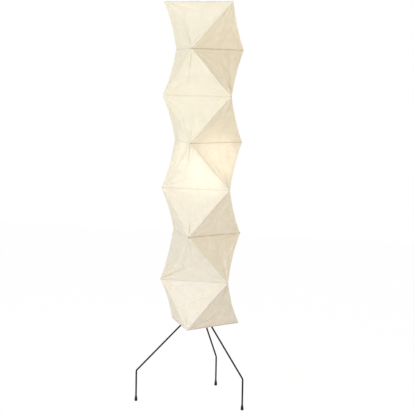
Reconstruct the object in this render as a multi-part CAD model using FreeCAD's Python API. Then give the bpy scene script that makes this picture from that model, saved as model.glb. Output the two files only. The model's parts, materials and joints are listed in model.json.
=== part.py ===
"""A floor lamp: a tall folded paper shade on eight triangular wire frames, over a steel tripod and pole.

Millimetres. The origin is on the floor under the pole, +Z is up, and the front leg gap faces -Y.
The frames are numbered from the top. Even frames have corners at 90, 210 and 330 degrees,
odd frames have them at 30, 150 and 270, and each paper band joins one frame to the next.
"""
import FreeCAD
import Part
import math
import os

Vec = FreeCAD.Vector
same = 0.01                # two places nearer than this are one

# ---- driving dimensions: the shade ----
band_count = 7
band_height = 222.0        # from one wire frame down to the next
corner_reach = 198.0       # from the axis to a corner of the paper, in plan
paper_wall = 0.3
paper_bow = 5.0            # how far a facet sags towards the axis halfway down
bow_steps = 4              # flat strips that make up one sagging facet
paper_split = 0.3          # between two bands at the frame that they share
wire_diameter = 3.0
wire_bend = 4.0            # to the wire's centre line, at each corner of a frame
paper_clearance = 0.3      # between the wire and the paper round it

# ---- driving dimensions: the legs and their hub ----
leg_diameter = 8.0
leg_upright = 150.3        # from the floor to the bend, drawn sharp
leg_slope = 45.0           # of the upper run, in degrees above the floor
leg_bend = 14.0            # to the rod's centre line
foot_reach = 309.0         # from the axis to the middle of a foot
hanging_gap = 2.0          # between the hem of the hanging shade and each leg
leg_end_reach = 9.5        # from the axis to the middle of a rod's end in the hub
hub_radius = 24.0
hub_foot_radius = 12.0
hub_band = 6.0             # height of the hub's widest part
hub_neck_radius = 11.0
hub_taper = 16.0
hub_neck = 14.0
hub_floor = 3.0            # metal between the rods' ends and the pole
hub_rounding = 1.5
socket_clearance = 0.1     # round a rod or the pole in its socket

# ---- driving dimensions: the feet ----
foot_height = 25.0
foot_radius = 7.3
foot_neck_radius = 5.4
foot_sole = 5.0            # rubber under the rod's end
foot_swell_height = 7.5    # from the floor to the widest part
foot_swell_rounding = 7.5
foot_rounding = 1.6

# ---- driving dimensions: the pole ----
pole_diameter = 12.0
pole_wall = 1.5
lower_pole_length = 560.0
joiner_radius = 8.0
joiner_length = 44.0
joiner_rounding = 1.0
spigot_length = 60.0
spigot_wall = 1.2

# ---- driving dimensions: the hanger at the top of the pole ----
hanger_drop = 40.0         # from the top frame down to the hub's dome
hanger_radius = 13.0
hanger_height = 18.0
hanger_cap = 5.0           # metal over the pole's end
hanger_rounding = 3.0
hanger_arm_rise = 11.2     # from the hub's foot up to the inner ends of the arms
hanger_screw_rise = 5.4    # and up to the screw, which clears the arms
arm_diameter = 4.0
arm_bend = 4.5
arm_depth = 5.0            # how far an arm goes into the hub
arm_step = 9.0             # from the frame's wire in to the top of the arm's step
arm_drop = 1.0             # from the wire's centre line down to that step's
arm_overhang = 2.0         # past the wire, under the paper
seat_clearance = 0.3       # between the top frame and each arm

# ---- driving dimensions: screws ----
screw_radius = 2.5
screw_head_radius = 4.5
screw_head_height = 5.0
screw_socket_radius = 1.6
screw_socket_depth = 3.0
screw_clearance = 0.1

# ---- driving dimensions: the lamp holder and bulb ----
holder_angle = 330.0       # the side of the pole that the bulb is on, in degrees
holder_offset = 44.0       # from the pole's axis to the bulb's
bulb_radius = 30.0
bulb_neck_radius = 14.5
bulb_shoulder_angle = 38.0 # below the globe's middle, where the neck leaves it
bulb_neck_drop = 44.0      # from the globe's middle to the top of the cap
bulb_cap_radius = 13.0
bulb_cap_length = 24.0
bulb_cap_wall = 0.8
bulb_cap_skirt = 3.0       # height of the cap's flare under the glass
bulb_cap_chamfer = 3.0
bulb_tip_radius = 4.5
bulb_tip_length = 3.0
bulb_glass_wall = 0.8
stem_radius = 3.0
stem_rise = 34.0           # from the cap up to the stem's top
filament_rise = 16.0
filament_spread = 12.0
filament_radius = 0.4
filament_bend = 1.2
filament_lead = 4.0        # the straight ends that stand on the stem
sleeve_clearance = 0.4
sleeve_wall = 0.5
shell_wall = 4.0
shell_floor = 20.0         # room for the terminals, under the contact
shell_rib_count = 12
shell_rib_radius = 1.2
shell_rounding = 2.0
ring_height = 7.0
contact_clearance = 0.3
contact_width = 5.0
contact_length = 16.0
contact_thickness = 0.6
nipple_radius = 5.0
nipple_bore = 3.5
nipple_below = 12.0        # under the holder
nipple_grip = 10.0         # inside it
nut_across = 17.0
nut_height = 4.0
bracket_thickness = 3.0
bracket_width = 26.0
clamp_lift = 8.0           # from the pole's joiner up to the clamp
clamp_radius = 12.0
clamp_height = 20.0
clamp_rounding = 1.0

# ---- driving dimensions: the cable gland under the hub ----
gland_radius = 7.5
gland_collar_radius = 9.5
gland_collar = 3.0
gland_height = 12.0
gland_bore = 3.4
gland_plug = 9.0
gland_rounding = 1.0

# ---- worked out ----
wire_radius = wire_diameter / 2
leg_radius = leg_diameter / 2
arm_radius = arm_diameter / 2
pole_radius = pole_diameter / 2
hem_inner = wire_radius + paper_clearance
hem_outer = hem_inner + paper_wall
paper_inradius = corner_reach / 2
wire_inradius = paper_inradius - paper_wall - paper_clearance - wire_radius
rise = math.tan(math.radians(leg_slope))
slope_cos = math.cos(math.radians(leg_slope))
slope_sin = math.sin(math.radians(leg_slope))
hang_distance = leg_radius + hanging_gap + hem_outer
# the three upper runs, drawn on, would meet on the axis at this height
leg_meet_height = leg_upright + foot_reach * rise
leg_end_height = leg_meet_height - leg_end_reach * rise
# the bottom frame hangs just clear of the three legs, and the others follow above it
lowest_frame = leg_meet_height - wire_inradius * rise + hang_distance / slope_cos
frame_heights = [lowest_frame + (band_count - k) * band_height for k in range(band_count + 1)]
pole_foot_height = leg_end_height + leg_radius * slope_cos + hub_floor
hanger_top = frame_heights[0] - hanger_drop
hanger_bottom = hanger_top - hanger_height
pole_top = hanger_top - hanger_cap
pole_split = pole_foot_height + lower_pole_length
leg_angles = {"back": 90.0, "left": 210.0, "right": 330.0}
arm_angles = {"front": 270.0, "left": 150.0, "right": 30.0}


def frame_turn(k):
    """Direction of one corner of frame k, in degrees."""
    return 90.0 if k % 2 == 0 else 270.0


def polar(reach, angle, z):
    """A point at this reach from the axis, in this direction, at this height."""
    turn = math.radians(angle)
    return Vec(reach * math.cos(turn), reach * math.sin(turn), z)


def turned(shape, angle):
    """A copy turned about the pole's axis."""
    copy = shape.copy()
    copy.rotate(Vec(0, 0, 0), Vec(0, 0, 1), angle)
    return copy


def solid_of(shape):
    """The one solid in a shape, or the shape itself when it holds several."""
    return shape.Solids[0] if len(shape.Solids) == 1 else shape


def revolved(outline):
    """A solid turned from (radius, height) points about the Z axis."""
    points = [Vec(r, 0, h) for r, h in outline]
    face = Part.Face(Part.makePolygon(points + points[:1]))
    return solid_of(face.revolve(Vec(0, 0, 0), Vec(0, 0, 1), 360))


def tube(outer, inner, bottom, top):
    """A round tube on the Z axis."""
    return revolved([(inner, bottom), (outer, bottom), (outer, top), (inner, top)])


def rod(outer, bottom, top):
    """A round bar on the Z axis."""
    return revolved([(0, bottom), (outer, bottom), (outer, top), (0, top)])


def rounded(shape, radius, chosen):
    """Fillets the edges that chosen(edge) picks."""
    edges = [e for e in shape.Edges if chosen(e)]
    return solid_of(shape.makeFillet(radius, edges))


def circle_at(height, radius):
    """Picks the round edge of this radius at this height."""
    def chosen(edge):
        box = edge.BoundBox
        level = abs(box.ZMax - height) < same and abs(box.ZMin - height) < same
        return level and abs(box.XMax - radius) < same
    return chosen


def bent_path(points, bend):
    """A wire through the points, with a tangent arc of this radius at each inner one."""
    edges = []
    start = points[0]
    for before, corner, after in zip(points, points[1:], points[2:]):
        back = (before - corner).normalize()
        ahead = (after - corner).normalize()
        half = back.getAngle(ahead) / 2
        arc_from = corner + back * (bend / math.tan(half))
        arc_to = corner + ahead * (bend / math.tan(half))
        middle = corner + (back + ahead).normalize() * (bend / math.sin(half) - bend)
        edges.append(Part.LineSegment(start, arc_from).toShape())
        edges.append(Part.Arc(arc_from, middle, arc_to).toShape())
        start = arc_to
    edges.append(Part.LineSegment(start, points[-1]).toShape())
    return Part.Wire(edges)


def bent_rod(points, radius, bend):
    """A round bar that follows the bent path."""
    spine = bent_path(points, bend)
    profile = Part.Wire(Part.makeCircle(radius, points[0], points[1] - points[0]))
    return solid_of(spine.makePipeShell([profile], True, False))


# ---- the shade ----
def frame_ring(radius):
    """A closed triangle of round wire at height 0, with one corner towards +X."""
    corner = wire_inradius / math.sin(math.radians(30))
    side_end = corner * math.sin(math.radians(60)) - wire_bend / math.tan(math.radians(30))
    bend_middle = corner - wire_bend / math.sin(math.radians(30))
    pieces = []
    for k in range(3):
        side = Part.makeCylinder(radius, 2 * side_end, Vec(-wire_inradius, -side_end, 0), Vec(0, 1, 0))
        pieces.append(turned(side, 120 * k))
        ring = Part.makeTorus(wire_bend, radius)
        reach = corner + wire_bend
        left = polar(reach, 60, 0)
        right = polar(reach, -60, 0)
        wedge_face = Part.Face(Part.makePolygon([Vec(0, 0, -reach), left + Vec(0, 0, -reach),
                                                 right + Vec(0, 0, -reach), Vec(0, 0, -reach)]))
        wedge = wedge_face.extrude(Vec(0, 0, 2 * reach))
        bend = ring.common(wedge)
        bend.translate(Vec(bend_middle, 0, 0))
        pieces.append(turned(bend, 120 * k))
    whole = pieces[0].multiFuse(pieces[1:]).removeSplitter()
    return solid_of(whole)


def frame(k):
    """Wire frame k, at its height and turn."""
    ring = turned(frame_ring(wire_radius), frame_turn(k))
    ring.translate(Vec(0, 0, frame_heights[k]))
    return ring


def hem(k, side):
    """The paper folded over frame k's wire: half a tube above it (side 1) or below (side -1)."""
    cover = frame_ring(hem_outer).cut(frame_ring(hem_inner))
    span = 2 * corner_reach
    low = 0.0 if side > 0 else -span
    half = Part.makeBox(2 * span, 2 * span, span, Vec(-span, -span, low))
    cover = turned(cover.common(half), frame_turn(k))
    cover.translate(Vec(0, 0, frame_heights[k]))
    return solid_of(cover)


def band_section(share, inset, z):
    """The six points of a band's outline at this share of the way down, inset from the outside."""
    bow = paper_bow * 4 * share * (1 - share)
    to_upper_base = paper_inradius + share * (corner_reach - paper_inradius) - bow - inset
    to_lower_base = corner_reach - share * (corner_reach - paper_inradius) - bow - inset
    to_upper_base = min(to_upper_base, 2 * to_lower_base)
    to_lower_base = min(to_lower_base, 2 * to_upper_base)
    points = []
    for k in range(6):
        here = to_lower_base if k % 2 == 0 else to_upper_base
        there = to_upper_base if k % 2 == 0 else to_lower_base
        along = (there - here / 2) / math.cos(math.radians(30))
        points.append(polar(here, 60 * k, z) + polar(along, 60 * k + 90, 0))
    return points


def flat_face(points):
    """A face through the points, without the ones that fall on their neighbours."""
    apart = [p for p, q in zip(points, points[1:] + points[:1]) if p.distanceToPoint(q) > same / 100]
    return Part.Face(Part.makePolygon(apart + apart[:1]))


def ring_face(outer, inner):
    """The flat edge of the paper between two outlines."""
    hole = flat_face(inner)
    return flat_face(outer).cut(hole).Faces[0]


def paper_band(k):
    """Paper band k, from frame k - 1 down to frame k: six facets that sag a little inwards."""
    height = band_height - paper_split
    top = frame_heights[k - 1] - paper_split / 2
    levels = [step / bow_steps for step in range(bow_steps + 1)]
    outer = [band_section(share, 0.0, top - share * height) for share in levels]
    inner = [band_section(share, paper_wall, top - share * height) for share in levels]
    faces = [ring_face(outer[0], inner[0]), ring_face(outer[-1], inner[-1])]
    for skin in (outer, inner):
        for upper, lower in zip(skin, skin[1:]):
            for i in range(6):
                j = (i + 1) % 6
                faces.append(flat_face([upper[i], upper[j], lower[j], lower[i]]))
    band = Part.Solid(Part.Shell(faces))
    if band.Volume < 0:
        band.reverse()
    return turned(band, frame_turn(k - 1))


# ---- the legs, their hub and their feet ----
def leg(angle):
    """One bent rod, from its foot up to its end in the hub."""
    points = [polar(foot_reach, angle, foot_sole),
              polar(foot_reach, angle, leg_upright),
              polar(leg_end_reach, angle, leg_end_height)]
    return bent_rod(points, leg_radius, leg_bend)


def foot(angle):
    """A rubber tip, swollen at the floor and narrow at the rod, with the rod's socket in it."""
    bore = leg_radius + socket_clearance
    outline = [(0, 0), (foot_radius, 0), (foot_radius, foot_swell_height),
               (foot_neck_radius, foot_height), (bore, foot_height),
               (bore, foot_sole), (0, foot_sole)]
    tip = revolved(outline)
    tip = rounded(tip, foot_rounding, circle_at(0, foot_radius))
    tip = rounded(tip, foot_swell_rounding, circle_at(foot_swell_height, foot_radius))
    tip.translate(polar(foot_reach, angle, 0))
    return tip


def hub_heights():
    """Heights of the hub's foot, its widest part's two edges, its shoulder and its top."""
    middle = leg_meet_height - hub_radius * rise + (hub_radius - hub_foot_radius) / 2
    low_edge = middle + (hub_radius - hub_foot_radius) / 2
    bottom = low_edge - (hub_radius - hub_foot_radius)
    high_edge = low_edge + hub_band
    shoulder = high_edge + hub_taper
    return bottom, low_edge, high_edge, shoulder, shoulder + hub_neck


def leg_hub():
    """The turned hub: three slanted sockets for the rods, one above for the pole, a cable way below."""
    bottom, low_edge, high_edge, shoulder, top = hub_heights()
    body = revolved([(0, bottom), (hub_foot_radius, bottom), (hub_radius, low_edge),
                     (hub_radius, high_edge), (hub_neck_radius, shoulder),
                     (hub_neck_radius, top), (0, top)])
    body = rounded(body, hub_rounding, circle_at(low_edge, hub_radius))
    body = rounded(body, hub_rounding, circle_at(high_edge, hub_radius))
    body = rounded(body, hub_rounding, circle_at(top, hub_neck_radius))
    for angle in leg_angles.values():
        end = polar(leg_end_reach, angle, leg_end_height)
        outward = polar(slope_cos, angle, -slope_sin)
        socket = Part.makeCylinder(leg_radius + socket_clearance, 3 * hub_radius, end, outward)
        body = body.cut(socket)
    body = body.cut(rod(pole_radius + socket_clearance, pole_foot_height, top + hub_neck))
    body = body.cut(rod(gland_bore, bottom - gland_height, pole_foot_height))
    body = body.cut(rod(gland_radius + socket_clearance, bottom - gland_height, bottom + gland_plug))
    hole = screw_hole(pole_radius, top - hub_neck / 2)
    return solid_of(body.cut(turned(hole, arm_angles["front"])))


def cable_gland():
    """The plastic gland in the hub's underside, where the supply cable goes up into the pole."""
    bottom = hub_heights()[0]
    body = revolved([(gland_bore, bottom - gland_height), (gland_radius, bottom - gland_height),
                     (gland_collar_radius, bottom - gland_collar), (gland_collar_radius, bottom),
                     (gland_radius, bottom), (gland_radius, bottom + gland_plug),
                     (gland_bore, bottom + gland_plug)])
    return rounded(body, gland_rounding, circle_at(bottom - gland_collar, gland_collar_radius))


# ---- screws, all set in towards the pole ----
def screw_hole(reach, z):
    """The hole for a screw that points at the axis along X, from the pole's skin out."""
    return Part.makeCylinder(screw_radius + screw_clearance, 4 * hub_radius, Vec(reach, 0, z), Vec(1, 0, 0))


def clamp_screw(tip_reach, head_reach, z, angle):
    """A socket-headed screw from tip_reach out to under its head at head_reach."""
    shank = Part.makeCylinder(screw_radius, head_reach - tip_reach, Vec(tip_reach, 0, z), Vec(1, 0, 0))
    head = Part.makeCylinder(screw_head_radius, screw_head_height, Vec(head_reach, 0, z), Vec(1, 0, 0))
    face_reach = head_reach + screw_head_height
    recess = Part.makeCylinder(screw_socket_radius, screw_socket_depth,
                               Vec(face_reach - screw_socket_depth, 0, z), Vec(1, 0, 0))
    return turned(solid_of(shank.fuse(head).cut(recess)), angle)


def hub_screw():
    """Holds the pole in the hub."""
    z = hub_heights()[4] - hub_neck / 2
    return clamp_screw(pole_radius, hub_neck_radius, z, arm_angles["front"])


def hanger_screw():
    """Holds the hanger on the pole."""
    z = hanger_screw_height()
    return clamp_screw(pole_radius, hanger_radius, z, leg_angles["back"])


def holder_screw():
    """Holds the lamp holder's clamp on the pole."""
    return clamp_screw(pole_radius, clamp_radius, clamp_middle(), holder_angle + 180)


# ---- the pole ----
def pole_lower():
    """The lower tube, from the hub to the joiner's middle."""
    return tube(pole_radius, pole_radius - pole_wall, pole_foot_height, pole_split)


def pole_upper():
    """The upper tube, from the joiner's middle to the hanger."""
    return tube(pole_radius, pole_radius - pole_wall, pole_split, pole_top)


def pole_joiner():
    """The outer sleeve over the two tubes' ends."""
    low = pole_split - joiner_length / 2
    high = pole_split + joiner_length / 2
    sleeve = tube(joiner_radius, pole_radius + socket_clearance, low, high)
    sleeve = rounded(sleeve, joiner_rounding, circle_at(low, joiner_radius))
    return rounded(sleeve, joiner_rounding, circle_at(high, joiner_radius))


def pole_spigot():
    """The inner tube that lines the two pole sections up."""
    outer = pole_radius - pole_wall - socket_clearance
    half = spigot_length / 2
    return tube(outer, outer - spigot_wall, pole_split - half, pole_split + half)


# ---- the hanger ----
def arm_points():
    """The centre line of an arm in the plane of X and Z: hub, step, shelf under the wire, tip."""
    wire_level = frame_heights[0]
    shelf = wire_level - wire_radius - seat_clearance - arm_radius
    start = Vec(hanger_radius - arm_depth, 0, hanger_arm_height())
    step = Vec(wire_inradius - arm_step, 0, wire_level - arm_drop)
    foot_of_step = Vec(wire_inradius - hem_outer - seat_clearance, 0, shelf)
    tip = Vec(wire_inradius + arm_overhang, 0, shelf)
    return start, step, foot_of_step, tip


def hanger_arm_height():
    """Height at which the arms start inside the hub."""
    return hanger_bottom + hanger_arm_rise


def hanger_screw_height():
    """Height of the hanger's screw, under the arms."""
    return hanger_bottom + hanger_screw_rise


def hanger_arm(angle):
    """A wire arm that steps down under the top frame's side and holds it from sliding inwards."""
    start, step, foot_of_step, tip = arm_points()
    bar = bent_rod([start, step, foot_of_step, tip], arm_radius, arm_bend)
    return turned(bar, angle)


def hanger_hub():
    """The turned cap on the pole's end, with three slanted holes for the arms."""
    body = rod(hanger_radius, hanger_bottom, hanger_top)
    body = rounded(body, hanger_rounding, circle_at(hanger_top, hanger_radius))
    body = body.cut(rod(pole_radius + socket_clearance, hanger_bottom - hanger_height, pole_top))
    start, step = arm_points()[:2]
    along = (step - start).normalize()
    for angle in arm_angles.values():
        hole = Part.makeCylinder(arm_radius + socket_clearance, 2 * hanger_radius, start, along)
        body = body.cut(turned(hole, angle))
    hole = screw_hole(pole_radius, hanger_screw_height())
    return solid_of(body.cut(turned(hole, leg_angles["back"])))


# ---- the lamp holder and the bulb, made on the Z axis and moved to the holder's place ----
clamp_bottom = pole_split + joiner_length / 2 + clamp_lift
plate_top = clamp_bottom + clamp_height
plate_bottom = plate_top - bracket_thickness
shell_bottom = plate_top
shell_inside = shell_bottom + shell_floor
tip_bottom = shell_inside + contact_thickness + contact_clearance
cap_bottom = tip_bottom + bulb_tip_length
cap_top = cap_bottom + bulb_cap_length
stem_top = cap_top + stem_rise
bulb_centre = cap_top + bulb_neck_drop
ring_top = cap_top - bulb_cap_skirt - contact_clearance
shell_top = ring_top - ring_height
sleeve_inner = bulb_cap_radius + sleeve_clearance
sleeve_outer = sleeve_inner + sleeve_wall
shell_bore = sleeve_outer + socket_clearance
shell_outer = shell_bore + shell_wall


def at_holder(shape):
    """Moves a piece from the Z axis to the lamp holder's axis."""
    shape.translate(polar(holder_offset, holder_angle, 0))
    return shape


def clamp_middle():
    """Height of the middle of the clamp round the pole."""
    return clamp_bottom + clamp_height / 2


def bulb_glass():
    """The frosted globe with its neck, hollow and open at the cap."""
    def blown(inset):
        globe = bulb_radius - inset
        neck = bulb_neck_radius - inset
        leave = math.radians(-bulb_shoulder_angle)
        start = Vec(0, 0, bulb_centre + globe)
        side = Vec(globe, 0, bulb_centre)
        turn = Vec(globe * math.cos(leave), 0, bulb_centre + globe * math.sin(leave))
        low = Vec(neck, 0, cap_top)
        axis_low = Vec(0, 0, cap_top)
        edges = [Part.Arc(start, side, turn).toShape(), Part.LineSegment(turn, low).toShape(),
                 Part.LineSegment(low, axis_low).toShape(), Part.LineSegment(axis_low, start).toShape()]
        return Part.Face(Part.Wire(edges)).revolve(Vec(0, 0, 0), Vec(0, 0, 1), 360)
    return at_holder(solid_of(blown(0).cut(blown(bulb_glass_wall))))


def bulb_cap():
    """The screw cap, a metal cup with a skirt under the glass."""
    inside = bulb_cap_radius - bulb_cap_wall
    shoulder = cap_top - bulb_cap_skirt
    outline = [(bulb_tip_radius, cap_bottom), (bulb_cap_radius - bulb_cap_chamfer, cap_bottom),
               (bulb_cap_radius, cap_bottom + bulb_cap_chamfer), (bulb_cap_radius, shoulder),
               (bulb_neck_radius, cap_top), (bulb_neck_radius - bulb_cap_wall, cap_top),
               (inside, shoulder), (inside, cap_bottom + bulb_cap_chamfer),
               (inside - bulb_cap_chamfer + bulb_cap_wall, cap_bottom + bulb_cap_wall),
               (bulb_tip_radius, cap_bottom + bulb_cap_wall)]
    return at_holder(revolved(outline))


def bulb_stem():
    """The glass stem inside the bulb, flared where it joins the neck."""
    flare = bulb_neck_radius - bulb_glass_wall - socket_clearance
    outline = [(0, cap_top), (flare, cap_top), (stem_radius, cap_top + flare),
               (stem_radius, stem_top), (0, stem_top)]
    return at_holder(revolved(outline))


def bulb_filament():
    """The bent wire on the stem that gives the light."""
    lead_reach = stem_radius / 2
    high = stem_top + filament_rise
    points = [Vec(-lead_reach, 0, stem_top), Vec(-lead_reach, 0, stem_top + filament_lead),
              Vec(-filament_spread, 0, high), Vec(filament_spread, 0, high),
              Vec(lead_reach, 0, stem_top + filament_lead), Vec(lead_reach, 0, stem_top)]
    return at_holder(bent_rod(points, filament_radius, filament_bend))


def bulb_tip():
    """The contact at the bottom of the cap."""
    chamfer = bulb_tip_length / 2
    outline = [(0, tip_bottom), (bulb_tip_radius - chamfer, tip_bottom),
               (bulb_tip_radius, tip_bottom + chamfer),
               (bulb_tip_radius, cap_bottom + bulb_cap_wall), (0, cap_bottom + bulb_cap_wall)]
    return at_holder(revolved(outline))


def holder_shell():
    """The moulded holder, with ribs round its grip and a bore for the screw sleeve."""
    body = rod(shell_outer, shell_bottom, shell_top)
    body = rounded(body, shell_rounding, circle_at(shell_bottom, shell_outer))
    body = rounded(body, shell_rounding, circle_at(shell_top, shell_outer))
    body = body.cut(rod(shell_bore, shell_inside, shell_top + ring_height))
    body = body.cut(rod(nipple_radius + socket_clearance, shell_bottom, shell_bottom + nipple_grip))
    body = body.cut(rod(nipple_bore, shell_bottom, shell_inside))
    groove_low = shell_bottom + 2 * shell_rounding
    groove_length = shell_top - shell_rounding - 2 * shell_rounding - groove_low
    for k in range(shell_rib_count):
        groove = Part.makeCylinder(shell_rib_radius, groove_length,
                                   polar(shell_outer, 360 / shell_rib_count * k, groove_low))
        body = body.cut(groove)
    return at_holder(solid_of(body))


def holder_ring():
    """The ring screwed on the holder's mouth, which keeps the sleeve in."""
    ring = tube(shell_outer, sleeve_inner, shell_top, ring_top)
    return at_holder(rounded(ring, shell_rounding / 2, circle_at(ring_top, shell_outer)))


def holder_sleeve():
    """The brass screw sleeve that the bulb's cap turns into."""
    return at_holder(tube(sleeve_outer, sleeve_inner, shell_inside + contact_thickness, shell_top))


def holder_contact():
    """The brass tongue under the bulb's tip."""
    tongue = Part.makeBox(contact_length, contact_width, contact_thickness,
                          Vec(-contact_length / 2, -contact_width / 2, shell_inside))
    return at_holder(tongue)


def holder_nipple():
    """The threaded tube that fixes the holder to its bracket."""
    return at_holder(tube(nipple_radius, nipple_bore, shell_bottom - nipple_below,
                          shell_bottom + nipple_grip))


def nipple_nut():
    """The hexagonal nut under the bracket."""
    corners = [polar(nut_across / 2 / math.cos(math.radians(30)), 60 * k, plate_bottom - nut_height)
               for k in range(6)]
    nut = Part.Face(Part.makePolygon(corners + corners[:1])).extrude(Vec(0, 0, nut_height))
    nut = nut.cut(rod(nipple_radius, plate_bottom - 2 * nut_height, plate_top))
    return at_holder(solid_of(nut))


def holder_bracket():
    """A plate out to the holder, in one piece with the clamp round the pole."""
    half = bracket_width / 2
    plate = Part.makeBox(holder_offset, bracket_width, bracket_thickness, Vec(0, -half, plate_bottom))
    plate = plate.fuse(Part.makeCylinder(half, bracket_thickness, Vec(holder_offset, 0, plate_bottom)))
    clamp = rod(clamp_radius, clamp_bottom, plate_top)
    clamp = rounded(clamp, clamp_rounding, circle_at(clamp_bottom, clamp_radius))
    body = plate.fuse(clamp)
    body = body.cut(rod(pole_radius + socket_clearance, clamp_bottom, plate_top))
    hole = Part.makeCylinder(nipple_radius + socket_clearance, 3 * bracket_thickness,
                             Vec(holder_offset, 0, plate_bottom - bracket_thickness))
    body = body.cut(hole)
    body = body.cut(turned(screw_hole(pole_radius, clamp_middle()), 180))
    return turned(solid_of(body.removeSplitter()), holder_angle)


def build():
    """Every node's name and solid."""
    nodes = {"leg_hub": leg_hub(), "cable_gland": cable_gland(), "hub_screw": hub_screw()}
    for name, angle in leg_angles.items():
        nodes["leg_" + name] = leg(angle)
        nodes["foot_" + name] = foot(angle)
    nodes["pole_lower"] = pole_lower()
    nodes["pole_spigot"] = pole_spigot()
    nodes["pole_joiner"] = pole_joiner()
    nodes["pole_upper"] = pole_upper()
    nodes["hanger_hub"] = hanger_hub()
    nodes["hanger_screw"] = hanger_screw()
    for name, angle in arm_angles.items():
        nodes["hanger_arm_" + name] = hanger_arm(angle)
    nodes["holder_bracket"] = holder_bracket()
    nodes["holder_screw"] = holder_screw()
    nodes["holder_nipple"] = holder_nipple()
    nodes["nipple_nut"] = nipple_nut()
    nodes["holder_shell"] = holder_shell()
    nodes["holder_ring"] = holder_ring()
    nodes["holder_sleeve"] = holder_sleeve()
    nodes["holder_contact"] = holder_contact()
    nodes["bulb_glass"] = bulb_glass()
    nodes["bulb_cap"] = bulb_cap()
    nodes["bulb_tip"] = bulb_tip()
    nodes["bulb_stem"] = bulb_stem()
    nodes["bulb_filament"] = bulb_filament()
    for k in range(band_count + 1):
        nodes[f"frame_{k}"] = frame(k)
    for k in range(1, band_count + 1):
        nodes[f"paper_band_{k}"] = paper_band(k)
    nodes["top_hem"] = hem(0, 1)
    nodes["bottom_hem"] = hem(band_count, -1)
    return nodes


os.makedirs("parts", exist_ok=True)
for node, shape in build().items():
    shape.exportStep(f"parts/{node}.step")
    box = shape.BoundBox
    print(f"{node:18s} solids {len(shape.Solids)} valid {shape.isValid()} "
          f"volume {shape.Volume / 1000:9.3f} cm3  z {box.ZMin:8.2f} to {box.ZMax:8.2f}")
print(f"frames at {[round(z, 1) for z in frame_heights]}")
print(f"total height {frame_heights[0] + hem_outer:.2f}, bulb's middle at {bulb_centre:.2f}")
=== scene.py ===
# %% [markdown]
# # A paper lantern floor lamp
# The lamp is a tall shade of handmade paper, folded round eight triangles of wire, on a tripod of bent
# rods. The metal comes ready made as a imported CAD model. Blender adds what a CAD program draws badly:
# the slack, creased paper, the rolled thread on the bulb, the soft outline of the rubber tips, and
# the finish of every surface.
# Everything is in metres, in the CAD model's own place, so a new piece goes where the numbers say.

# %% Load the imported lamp
import json
import math
import bpy
import numpy as np
from mathutils import Matrix, Vector


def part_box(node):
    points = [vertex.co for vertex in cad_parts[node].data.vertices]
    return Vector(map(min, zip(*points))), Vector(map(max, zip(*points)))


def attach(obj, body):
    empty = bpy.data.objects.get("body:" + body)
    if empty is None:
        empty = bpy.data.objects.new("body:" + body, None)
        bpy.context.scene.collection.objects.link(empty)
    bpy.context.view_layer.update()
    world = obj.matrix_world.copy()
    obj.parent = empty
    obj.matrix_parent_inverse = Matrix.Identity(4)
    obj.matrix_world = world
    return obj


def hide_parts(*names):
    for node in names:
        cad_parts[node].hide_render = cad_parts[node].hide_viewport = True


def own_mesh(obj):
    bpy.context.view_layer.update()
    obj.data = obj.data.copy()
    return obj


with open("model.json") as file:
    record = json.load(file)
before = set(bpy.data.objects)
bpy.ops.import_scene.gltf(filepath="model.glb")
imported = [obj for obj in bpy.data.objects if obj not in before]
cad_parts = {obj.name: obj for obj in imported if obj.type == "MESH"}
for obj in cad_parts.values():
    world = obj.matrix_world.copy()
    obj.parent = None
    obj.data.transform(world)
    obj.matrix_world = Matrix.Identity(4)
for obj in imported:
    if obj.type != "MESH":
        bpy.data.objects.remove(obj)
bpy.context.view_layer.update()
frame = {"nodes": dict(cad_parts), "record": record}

band_count = 7
levels = [sum(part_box(f"frame_{k}")[end][2] for end in (0, 1)) / 2 for k in range(band_count + 1)]
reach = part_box("paper_band_1")[1][1]
print("wire frames at", [round(z, 4) for z in levels], "paper corners reach", round(reach, 4))

# %% [markdown]
# ## The camera
# The photograph was taken from the front, a little to the right, at about eye height and from far
# away, which is why the level lines hardly converge. A camera could be placed by eye, but the numbers
# here come from fitting one to the corners of the frames, the feet and the bends of the legs.

# %% Camera
view_distance = 6.637
view_height = 1.569
view_angle = math.radians(16.967)
view_turn = math.radians(0.245)
view_tilt = math.radians(5.361)
view_roll = math.radians(1.0)
sensor_width = 36.0
focal_length = 119.49


def turned_pair(first, second, angle):
    """Two unit vectors turned in their own plane, the first one towards the second."""
    return (math.cos(angle) * first + math.sin(angle) * second,
            math.cos(angle) * second - math.sin(angle) * first)


eye = Vector((math.sin(view_angle), -math.cos(view_angle), 0)) * view_distance
ahead = -eye.normalized()
right = Vector((math.cos(view_angle), math.sin(view_angle), 0))
up = Vector((0, 0, 1))
ahead, right = turned_pair(ahead, right, view_turn)
up, ahead = turned_pair(up, ahead, view_tilt)
right, up = turned_pair(right, up, view_roll)
bpy.ops.object.camera_add()
camera = bpy.context.object
camera.data.lens = focal_length
camera.data.sensor_width = sensor_width
camera.matrix_world = Matrix((
    (right.x, up.x, -ahead.x, eye.x), (right.y, up.y, -ahead.y, eye.y),
    (right.z, up.z, -ahead.z, view_height), (0, 0, 0, 1)))
bpy.context.scene.camera = camera
print("camera at", [round(v, 3) for v in camera.matrix_world.translation])

# %% [markdown]
# ## A few hand tools
# Blender's operators act on what is selected, so each piece starts with nothing selected. The helpers
# below start a piece, open it for editing, and finish it with its place kept in the mesh.


# %% Tools to start and finish a piece
def start_fresh():
    """Leaves edit mode and deselects everything."""
    if bpy.context.object and bpy.context.object.mode != "OBJECT":
        bpy.ops.object.mode_set(mode="OBJECT")
    bpy.ops.object.select_all(action="DESELECT")


def named(name):
    """Names the primitive that was just added, and its mesh."""
    piece = bpy.context.object
    piece.name = name
    piece.data.name = name
    return piece


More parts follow.
